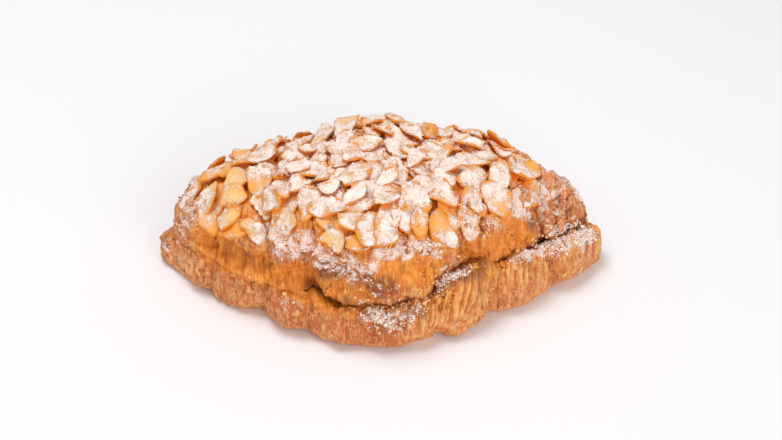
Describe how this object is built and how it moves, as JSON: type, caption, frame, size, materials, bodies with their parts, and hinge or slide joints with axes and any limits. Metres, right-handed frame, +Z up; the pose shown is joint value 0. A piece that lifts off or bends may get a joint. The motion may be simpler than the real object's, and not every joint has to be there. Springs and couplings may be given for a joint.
{
  "type": "almond croissant",
  "caption": "Split and refilled croissant with rolled, layered crust, an almond cream seam and a top covered in flaked almonds; rests on its flat sole.",
  "frame": {"origin": "on the table, below the middle of the croissant", "axes": "+X along the croissant from tip to tip, +Y to its back, +Z up"},
  "size_m": [0.1736, 0.1054, 0.0553],
  "materials": {
    "crust": "baked, half dull, with fine ridges",
    "cream": "baked cream, dull",
    "almond_top": "flaked almonds on crust, dusted with icing sugar"
  },
  "bodies": {
    "root": {"bottom_half": "crust", "almond_cream": "cream", "top_half": "almond_top"}
  },
  "joints": []
}
